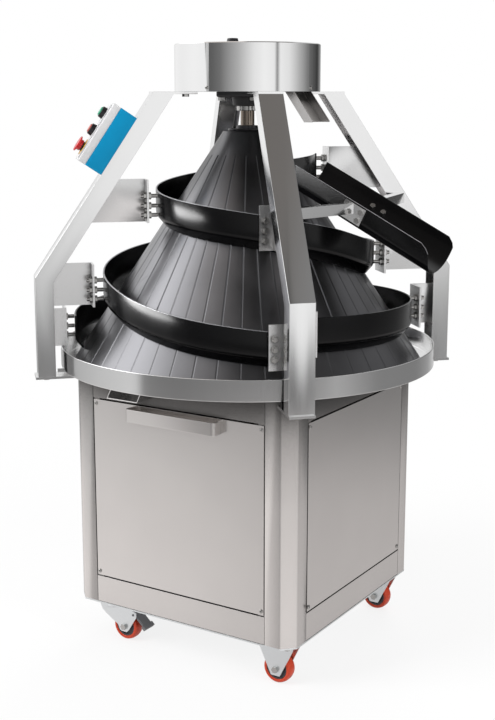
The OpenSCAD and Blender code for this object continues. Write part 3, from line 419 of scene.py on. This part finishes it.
def finished(node, edge, segments=2, shape=None, look=None, rim=None):
    """A finished copy of a frame node: shaped further where asked, then with its edges broken."""
    bm = merged(node)
    if shape:
        shape(bm)
    obj = piece("finished_" + node, bm, BODY[node], SLOT[node], [node], look)
    if rim:
        obj.data.materials.append(finish(rim))
    return soften(obj, edge, segments)


def dress(*nodes):
    """Give frame nodes that are shown as they are the finish of their slot."""
    for node in nodes:
        NODES[node].data.materials.clear()
        NODES[node].data.materials.append(finish(SLOT[node]))


def islands(bm):
    """The separate solids of a mesh, each as a list of its vertices."""
    left, found = set(bm.verts), []
    for start in bm.verts:
        if start not in left:
            continue
        left.remove(start)
        reach, group = [start], []
        while reach:
            v = reach.pop()
            group.append(v)
            near = {e.other_vert(v) for e in v.link_edges} & left
            left -= near
            reach.extend(near)
        found.append(group)
    return found


def trimmed(bm, gap):
    """Take a gap off each side of every sheet in a mesh, along its broad directions."""
    for group in islands(bm):
        low, high = [Vector([pick(v.co[i] for v in group) for i in range(3)]) for pick in (min, max)]
        shares = [1 - 2 * gap / d if d > BROAD else 1.0 for d in high - low]
        bmesh.ops.scale(bm, vec=shares, space=Matrix.Translation(-(low + high) / 2), verts=group)


def even_strips(obj, aside=8, steep=0.3):
    """Turn the normals of a cone's smooth strips to each corner's own side, for an even light round it.

    A strip faces out from the axis, less than aside degrees off, and the level part of its normal is over
    steep.
    """
    mesh = obj.data
    outward = math.cos(math.radians(aside))
    normals = [Vector() for loop in mesh.loops]
    for face in mesh.polygons:
        lean = face.normal.xy
        if lean.length > steep and lean.normalized().dot(face.center.xy.normalized()) > outward:
            for index in face.loop_indices:
                side = mesh.vertices[mesh.loops[index].vertex_index].co.xy.normalized()
                normals[index] = Vector((*(side * lean.length), face.normal.z))
    mesh.normals_split_custom_set(normals)


def turned(profile, steps):
    """Turn a profile of (radius, height) points about the z axis; it is closed where it ends on the axis."""
    bm = bmesh.new()
    verts = [bm.verts.new((r, 0, z)) for r, z in profile]
    edges = [bm.edges.new(pair) for pair in zip(verts, verts[1:])]
    bmesh.ops.spin(bm, geom=verts + edges, cent=(0, 0, 0), axis=(0, 0, 1), angle=2 * math.pi, steps=steps,
                   use_merge=True)
    bmesh.ops.remove_doubles(bm, verts=bm.verts, dist=SAME_POLE)
    bmesh.ops.recalc_face_normals(bm, faces=bm.faces)
    return bm


def screw(size, head, low):
    """A cover screw with its top at the origin: domed head, shank and a socket with six flats.

    Head is the head's radius, and low is where the shank ends.
    """
    shank = head * SHANK
    socket = size.screw_socket / 2
    dome = [(head * share, -depth * MM) for share, depth in DOME]
    bm = turned([(0, low), (shank, low), (shank, -size.screw_head), (head, -size.screw_head), *dome,
                 (socket * MOUTH, 0), (socket, -MOUTH_DEPTH), (socket, -size.socket_depth),
                 (0, -size.socket_depth - DRILL_POINT)], SCREW_STEPS)
    for v in bm.verts:
        if v.co.z > -size.socket_depth - SAME_CORNER and abs(v.co.xy.length - socket) < SAME_CORNER:
            turn = math.atan2(v.co.y, v.co.x) % (math.pi / 3) - math.pi / 6
            v.co.xy *= 1 / math.cos(turn)
    return bm


class ROUNDER_OT_cabinet(bpy.types.Operator):
    """Build the cabinet: plates, folded posts, rails, panels and the front handle"""

    bl_idname = "rounder.cabinet"
    bl_label = "Cabinet"

    def execute(self, context):
        size = context.scene.rounder_sizes
        finished("corner_posts", size.cut_edge, look="shaded_sheet",
                 shape=lambda bm: fold(bm, size.post_fold, broad=9000, high=60))
        finished("cabinet_rails", size.cut_edge, shape=lambda bm: trimmed(bm, size.seam), look="shaded_sheet")
        for node in ("base_plate", "top_plate"):
            finished(node, size.cut_edge)
        for node in ("front_panel", "side_panels"):
            finished(node, size.panel_edge, 3, shape=lambda bm: trimmed(bm, size.seam))
        finished("front_handle", size.plate_edge)
        return {"FINISHED"}


class ROUNDER_OT_fasteners(bpy.types.Operator):
    """Build the cover screws with their sockets, the frame bolts and the adjusting bolts"""

    bl_idname = "rounder.fasteners"
    bl_label = "Fasteners"

    def execute(self, context):
        size = context.scene.rounder_sizes
        for node in ("frame_bolts", "guide_bolts"):
            finished(node, size.cut_edge)
        source = merged("cover_screws")
        bm = bmesh.new()
        for group in islands(source):
            # A screw's round ends have far more corners than the other faces, and its top is the outer end
            ends = [f for v in group for f in v.link_faces if len(f.verts) > 20]
            outer = max(ends, key=lambda f: f.calc_center_median().xy.length)
            axis = outer.normal.normalized()
            top = outer.calc_center_median()
            heights = [(v.co - top).dot(axis) for v in group]
            head = max((v.co - top - axis * height).length for v, height in zip(group, heights))
            one = screw(size, head, min(heights))
            stand = axis.to_track_quat("Z", "Y").to_matrix().to_4x4()
            bmesh.ops.transform(one, matrix=Matrix.Translation(top) @ stand, verts=one.verts)
            mesh = bpy.data.meshes.new("screw")
            one.to_mesh(mesh)
            one.free()
            bm.from_mesh(mesh)
            bpy.data.meshes.remove(mesh)
        source.free()
        piece("finished_cover_screws", bm, BODY["cover_screws"], SLOT["cover_screws"], ["cover_screws"])
        return {"FINISHED"}


class ROUNDER_OT_tray(bpy.types.Operator):
    """Build the tray with its upright rim and the spout under it"""

    bl_idname = "rounder.tray"
    bl_label = "Tray"

    def execute(self, context):
        size = context.scene.rounder_sizes
        finished("tray", size.panel_edge, 3, look="bright_sheet")
        finished("tray_spout", size.cut_edge, look="bright_sheet")
        return {"FINISHED"}


class ROUNDER_OT_cone(bpy.types.Operator):
    """Build the grooved cone, the plate on its top and the shaft with its locking collar"""

    bl_idname = "rounder.cone"
    bl_label = "Cone"

    def execute(self, context):
        size = context.scene.rounder_sizes
        even_strips(piece("finished_cone", merged("cone"), BODY["cone"], SLOT["cone"], ["cone"]))
        finished("main_shaft", size.cut_edge)
        dress("cone_spider")
        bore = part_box("main_shaft")[1].x * BORE_FIT
        cut = size.turned_edge

        wide, boss = size.cap_radius, size.boss_radius
        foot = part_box("cone")[1].z
        top, tip = foot + size.cap_thickness, foot + size.boss_height
        cap = turned([(bore, foot), (wide - cut / 2, foot), (wide, foot + cut), (wide, top - cut),
                      (wide - cut, top), (boss, top), (boss - cut, tip - cut), (bore, tip)], size.ring_steps)
        piece("cone_cap_plate", cap, "rotor", "cone_coating")

        wide = size.collar_radius
        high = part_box("upper_bearing")[0].z - size.collar_gap
        low = high - size.collar_height
        collar = turned([(bore, low), (wide - cut, low), (wide, low + cut), (wide, high - cut),
                         (wide - cut, high), (bore, high)], size.ring_steps)
        piece("shaft_collar", collar, "rotor", "fastener_steel")
        return {"FINISHED"}


class ROUNDER_OT_legs(bpy.types.Operator):
    """Build the four folded legs and their feet"""

    bl_idname = "rounder.legs"
    bl_label = "Legs"

    def execute(self, context):
        size = context.scene.rounder_sizes
        for node in ("leg_front_right", "leg_back_right", "leg_back_left", "leg_front_left"):
            finished(node, size.cut_edge, look="bright_sheet",
                     shape=lambda bm: fold(bm, size.leg_fold, broad=6000))
        finished("leg_feet", size.plate_edge, look="bright_sheet")
        return {"FINISHED"}


class ROUNDER_OT_drum(bpy.types.Operator):
    """Build the drum and its base, the knob on it, the bearings and the flour chute"""

    bl_idname = "rounder.drum"
    bl_label = "Drum"

    def execute(self, context):
        size = context.scene.rounder_sizes
        finished("drum_cover", size.cut_edge, 3)
        finished("drum_base", size.cut_edge)
        finished("drum_knob", size.panel_edge, 3)
        for node in ("upper_bearing", "lower_bearing"):
            finished(node, size.panel_edge, 3,
                     shape=lambda bm: fold(bm, size.bearing_corner, broad=1200, low=80))
        finished("flour_chute", size.cut_edge, look="flour_sheet")
        return {"FINISHED"}


class ROUNDER_OT_guides(bpy.types.Operator):
    """Build the spiral guides and their brackets"""

    bl_idname = "rounder.guides"
    bl_label = "Guides"

    def execute(self, context):
        size = context.scene.rounder_sizes

        def shape(bm):
            fold(bm, size.guide_fold, broad=60, high=70)
            painted_highlight_rim(bm, thick=4, width=size.guide_edge)

        for node in ("guide_upper", "guide_lower"):
            finished(node, size.cut_edge, shape=shape, rim="painted_highlight_rim")
        finished("guide_brackets", size.cut_edge, look="bracket_sheet")
        return {"FINISHED"}


class ROUNDER_OT_discharge(bpy.types.Operator):
    """Build the discharge chute and the arms that hold it"""

    bl_idname = "rounder.discharge"
    bl_label = "Discharge chute"

    def execute(self, context):
        size = context.scene.rounder_sizes
        finished("discharge_chute", size.cut_edge, rim="painted_highlight_rim",
                 shape=lambda bm: painted_highlight_rim(bm, thick=2, width=size.chute_edge, upward=-1))
        finished("chute_arms", size.panel_edge, look="bright_sheet")
        return {"FINISHED"}


class ROUNDER_OT_controls(bpy.types.Operator):
    """Build the control box, its lid and the three buttons"""

    bl_idname = "rounder.controls"
    bl_label = "Controls"

    def execute(self, context):
        size = context.scene.rounder_sizes
        for node in ("control_box", "control_lid"):
            finished(node, size.cut_edge, shape=lambda bm: fold(bm, size.box_corner, broad=900, low=80))
        for node in ("button_bezels", "start_button", "stop_button", "stop_collar", "stop_mushroom"):
            finished(node, size.panel_edge, 3)
        return {"FINISHED"}


class ROUNDER_OT_drive(bpy.types.Operator):
    """Finish the motor, gearbox, pulleys and belt inside the cabinet"""

    bl_idname = "rounder.drive"
    bl_label = "Drive"

    def execute(self, context):
        dress("motor", "gearbox", "drive_pulley", "cone_pulley", "drive_belt")
        return {"FINISHED"}


class ROUNDER_OT_casters(bpy.types.Operator):
    """Build the casters: plates, forks, axles, wheels and brake pedals"""

    bl_idname = "rounder.casters"
    bl_label = "Casters"

    def execute(self, context):
        size = context.scene.rounder_sizes
        for node in ("caster_plates", "rigid_forks", "fork_front_left", "fork_back_left",
                     "rigid_axles", "axle_front_left", "axle_back_left"):
            finished(node, size.cut_edge)
        for corner in ("front_right", "back_right", "front_left", "back_left"):
            finished("hub_" + corner, size.cut_edge)
            finished("tread_" + corner, size.panel_edge, 3)
        for node in ("pedal_front_left", "pedal_back_left"):
            finished(node, size.panel_edge)
        return {"FINISHED"}


# The studio's floor: half its width and where the shadow fades out from the axis, in metres, its grey, and
# the share of pure white that the camera sees near the machine
FLOOR_HALF = 8.0
SHADOW_FADE = (0.5, 2.2)
FLOOR_GREY = 0.85
SHADOW_WHITE = 0.8
WHITE = (1.0, 1.0, 1.0, 1.0)

# The room as polished metal sees it, by grey levels at compass angles in degrees: the floor near by and
# further off, the walls with dark gaps, the upper walls with a large lamp, and the ceiling. The last run is
# no grey: it is how much further the walls reach down over the floor, as a height
ROOM = {
    "near_floor": [(-180, 1.0), (-128, 1.0), (-118, 0.58), (-100, 0.5), (-60, 0.8), (-32, 1.0), (0, 0.8),
                   (40, 0.64), (62, 0.62), (80, 0.56), (110, 0.6), (150, 0.8), (180, 1.0)],
    "far_floor": [(-180, 0.48), (-150, 0.58), (-130, 0.64), (-126, 0.6), (-122, 0.2), (-100, 0.16),
                  (-43, 0.16), (-32, 0.06), (-15, 0.26), (-4, 0.36), (25, 0.2), (65, 0.22), (85, 0.34),
                  (102, 0.62), (125, 0.5), (158, 0.36), (180, 0.48)],
    "walls": [(-180, 0.95), (-150, 1.0), (-124, 0.97), (-121, 0.1), (-100, 0.18), (-72, 0.48), (-48, 0.87),
              (-32, 0.99), (-21, 0.95), (-15, 0.92), (-11, 0.22), (-6, 0.95), (10, 0.86), (31, 0.48),
              (55, 0.15), (84, 0.04), (102, 0.3), (125, 0.75), (152, 0.97), (180, 0.95)],
    "upper_walls": [(-180, 3.4), (-163, 3.6), (-147, 3.1), (-132, 2.1), (-115, 1.2), (-96, 0.8), (-75, 0.5),
                    (-60, 0.08), (-37, 0.03), (-30, 0.24), (-8, 0.24), (10, 0.12), (60, 0.42), (85, 0.7),
                    (120, 0.8), (150, 1.3), (180, 3.4)],
    "ceiling": [(-180, 0.7), (-150, 0.9), (-130, 1.1), (-118, 1.1), (-98, 0.6), (-76, 0.1), (-60, 0.02),
                (-38, 0.02), (-32, 0.17), (140, 0.17), (180, 0.7)],
    "wall_drop": [(-180, 0.0), (-38, 0.0), (-33, 0.045), (-27, 0.045), (-24, 0.0), (180, 0.0)],
}
# Heights, as the sine of the angle above the horizon, between which each run takes over from the one under it
STARTS = {
    "far_floor": (-0.3, -0.255),
    "walls": (-0.19, -0.09),
    "upper_walls": (0.25, 0.42),
    "ceiling": (0.73, 0.83),
}
# Warm tints on two of the runs
TINTS = {"near_floor": (1.0, 0.965, 0.955, 1.0), "ceiling": (1.0, 0.93, 0.88, 1.0)}
# What surfaces without a shine get from the room
SOFT_LIGHT = (0.5, 0.5, 0.5, 1.0)

# Square lamps: name, place and width in metres, power in watts; all aimed at the machine's middle
LAMPS = (
    ("key", (-2.2, -3.4, 3.4), 2.4, 170),
    ("fill", (3.4, -0.6, 2.2), 2.0, 60),
    ("back", (-0.5, 3.2, 2.8), 2.0, 60),
)
MIDDLE = (0, 0, 0.8)
# A soft strip at the left gives the black guides and the chute their shine and is flagged off from the rest
STRIP_PLACE, STRIP_AIM = (-2.3, -2.05, 1.15), (0, 0, 1.1)
STRIP_SIZE, STRIP_WATTS = (2.8, 0.5), 88
STRIP_LIGHTS = ("finished_guide_upper", "finished_guide_lower", "finished_discharge_chute")

# The camera: picture height, focal length and shift in pixels, sensor height in mm, place in metres, and turn
# and dip in degrees
PICTURE_HEIGHT = 720
FOCAL_PIXELS = 1247.88
SHIFT_PIXELS = -16
SENSOR = 24.0
CAMERA_PLACE = (1.6985, -2.692, 1.3957)
CAMERA_TURN, CAMERA_DIP = 32.25, 11.23


def lay_floor(scene):
    """Lay a floor that the camera sees as white away from the machine and its shadow."""
    bm = bmesh.new()
    bmesh.ops.create_grid(bm, x_segments=1, y_segments=1, size=FLOOR_HALF)
    mesh = bpy.data.meshes.new("floor")
    bm.to_mesh(mesh)
    bm.free()
    floor = bpy.data.objects.new("floor", mesh)
    scene.collection.objects.link(floor)
    floor.visible_glossy = False
    paint = bpy.data.materials.new("White floor")
    paint.use_nodes = True
    mesh.materials.append(paint)
    tree = paint.node_tree
    tree.nodes.clear()
    path = add(tree, "ShaderNodeLightPath")
    matt = add(tree, "ShaderNodeBsdfDiffuse", {"Color": (FLOOR_GREY, FLOOR_GREY, FLOOR_GREY, 1.0)})
    glow = add(tree, "ShaderNodeEmission", {"Color": WHITE, "Strength": 1.0})
    spot = add(tree, "ShaderNodeTexCoord").outputs["Object"]
    far = add(tree, "ShaderNodeVectorMath", {0: spot}, operation="LENGTH")
    clear = add(tree, "ShaderNodeMapRange",
                {"Value": far.outputs["Value"], "From Min": SHADOW_FADE[0], "From Max": SHADOW_FADE[1],
                 "To Min": SHADOW_WHITE, "To Max": 1.0}, interpolation_type="SMOOTHSTEP")
    seen = add(tree, "ShaderNodeMath", {0: path.outputs["Is Camera Ray"], 1: clear.outputs[0]},
               operation="MULTIPLY")
    both = add(tree, "ShaderNodeMixShader", {0: seen.outputs[0], 1: matt.outputs[0], 2: glow.outputs[0]})
    add(tree, "ShaderNodeOutputMaterial", {"Surface": both.outputs[0]})


def build_room(scene):
    """Make the room that shiny surfaces show; the camera sees white, and other surfaces get soft light."""
    world = bpy.data.worlds.new("Studio")
    scene.world = world
    world.use_nodes = True
    tree = world.node_tree
    tree.nodes.clear()
    way = add(tree, "ShaderNodeTexCoord").outputs["Generated"]
    part = add(tree, "ShaderNodeSeparateXYZ", {"Vector": way})
    turn = add(tree, "ShaderNodeMath", {0: part.outputs["Y"], 1: part.outputs["X"]}, operation="ARCTAN2")
    compass = add(tree, "ShaderNodeMapRange", {"Value": turn.outputs[0], "From Min": -math.pi,
                                               "From Max": math.pi})
    runs = {}
    for run, stops in ROOM.items():
        ramp = add(tree, "ShaderNodeValToRGB", {"Fac": compass.outputs[0]})
        first, last = ramp.color_ramp.elements
        first.color = (*[stops[0][1]] * 3, 1.0)
        last.color = (*[stops[-1][1]] * 3, 1.0)
        for angle, level in stops[1:-1]:
            ramp.color_ramp.elements.new(angle / 360 + 0.5).color = (level, level, level, 1.0)
        runs[run] = ramp.outputs[0]
        if run in TINTS:
            tinted = add(tree, "ShaderNodeMix", {SHARE: 1.0, FIRST: runs[run], SECOND: TINTS[run]},
                         data_type="RGBA", blend_type="MULTIPLY")
            runs[run] = tinted.outputs[MIXED]
    height = part.outputs["Z"]
    raised = add(tree, "ShaderNodeMath", {0: height, 1: runs["wall_drop"]}, operation="ADD").outputs[0]
    room = runs["near_floor"]
    for run, (low, high) in STARTS.items():
        level = raised if run == "walls" else height
        step = add(tree, "ShaderNodeMapRange", {"Value": level, "From Min": low, "From Max": high},
                   interpolation_type="SMOOTHSTEP")
        mixed = add(tree, "ShaderNodeMix", {SHARE: step.outputs[0], FIRST: room, SECOND: runs[run]},
                    data_type="RGBA")
        room = mixed.outputs[MIXED]
    path = add(tree, "ShaderNodeLightPath")
    shiny, soft, white = [add(tree, "ShaderNodeBackground", {"Color": light, "Strength": 1.0}).outputs[0]
                          for light in (room, SOFT_LIGHT, WHITE)]
    lit = add(tree, "ShaderNodeMixShader", {0: path.outputs["Is Glossy Ray"], 1: soft, 2: shiny})
    shown = add(tree, "ShaderNodeMixShader", {0: path.outputs["Is Camera Ray"], 1: lit.outputs[0], 2: white})
    add(tree, "ShaderNodeOutputWorld", {"Surface": shown.outputs[0]})


def hang_lamp(scene, name, place, aim, watts):
    """Hang an area lamp, aimed at a point."""
    lamp = bpy.data.lights.new(name, "AREA")
    lamp.energy = watts
    holder = bpy.data.objects.new(name, lamp)
    holder.location = place
    holder.rotation_euler = (Vector(aim) - Vector(place)).to_track_quat("-Z", "Y").to_euler()
    scene.collection.objects.link(holder)
    return holder


def hang_lamps(scene):
    """Hang the square lamps, which shiny surfaces don't show, and the strip."""
    for name, place, width, watts in LAMPS:
        holder = hang_lamp(scene, name, place, MIDDLE, watts)
        holder.data.shape = "SQUARE"
        holder.data.size = width
        holder.visible_glossy = False
    strip = hang_lamp(scene, "strip", STRIP_PLACE, STRIP_AIM, STRIP_WATTS)
    strip.data.shape = "ELLIPSE"
    strip.data.size, strip.data.size_y = STRIP_SIZE
    lit_pieces = bpy.data.collections.new("lit by the strip")
    for name in STRIP_LIGHTS:
        lit_pieces.objects.link(bpy.data.objects[name])
    strip.light_linking.receiver_collection = lit_pieces


def set_camera(scene):
    """Stand the camera where it sees the machine from its front right."""
    camera = bpy.data.cameras.new("camera")
    camera.sensor_fit = "VERTICAL"
    camera.sensor_height = SENSOR
    camera.lens = FOCAL_PIXELS * SENSOR / PICTURE_HEIGHT
    camera.shift_y = SHIFT_PIXELS / PICTURE_HEIGHT
    camera.clip_end = 100.0
    eye = bpy.data.objects.new("camera", camera)
    eye.location = CAMERA_PLACE
    eye.rotation_euler = (math.radians(90 - CAMERA_DIP), 0.0, math.radians(CAMERA_TURN))
    scene.collection.objects.link(eye)
    scene.camera = eye


class ROUNDER_OT_stage(bpy.types.Operator):
    """Set up the floor, the studio's reflections, the lamps and the camera"""

    bl_idname = "rounder.stage"
    bl_label = "Stage"

    def execute(self, context):
        scene = context.scene
        scene.view_settings.view_transform = "Standard"
        lay_floor(scene)
        build_room(scene)
        hang_lamps(scene)
        set_camera(scene)
        return {"FINISHED"}


STEPS = (ROUNDER_OT_cabinet, ROUNDER_OT_fasteners, ROUNDER_OT_tray, ROUNDER_OT_cone, ROUNDER_OT_legs,
         ROUNDER_OT_drum, ROUNDER_OT_guides, ROUNDER_OT_discharge, ROUNDER_OT_controls, ROUNDER_OT_drive,
         ROUNDER_OT_casters, ROUNDER_OT_stage)


class ROUNDER_PT_sidebar(bpy.types.Panel):
    """Lists the steps that build the dough rounder"""

    bl_label = "Dough rounder"
    bl_idname = "ROUNDER_PT_sidebar"
    bl_space_type = "VIEW_3D"
    bl_region_type = "UI"
    bl_category = "Rounder"

    def draw(self, context):
        for step in STEPS:
            self.layout.operator(step.bl_idname)


CLASSES = (RounderSizes, RounderColours, *STEPS, ROUNDER_PT_sidebar)


def register():
    for cls in CLASSES:
        bpy.utils.register_class(cls)
    bpy.types.Scene.rounder_sizes = PointerProperty(type=RounderSizes)
    bpy.types.Scene.rounder_colours = PointerProperty(type=RounderColours)


def unregister():
    del bpy.types.Scene.rounder_colours
    del bpy.types.Scene.rounder_sizes
    for cls in reversed(CLASSES):
        bpy.utils.unregister_class(cls)


def main():
    register()
    for step in STEPS:
        group, name = step.bl_idname.split(".")
        getattr(getattr(bpy.ops, group), name)()


if __name__ == "__main__":
    main()
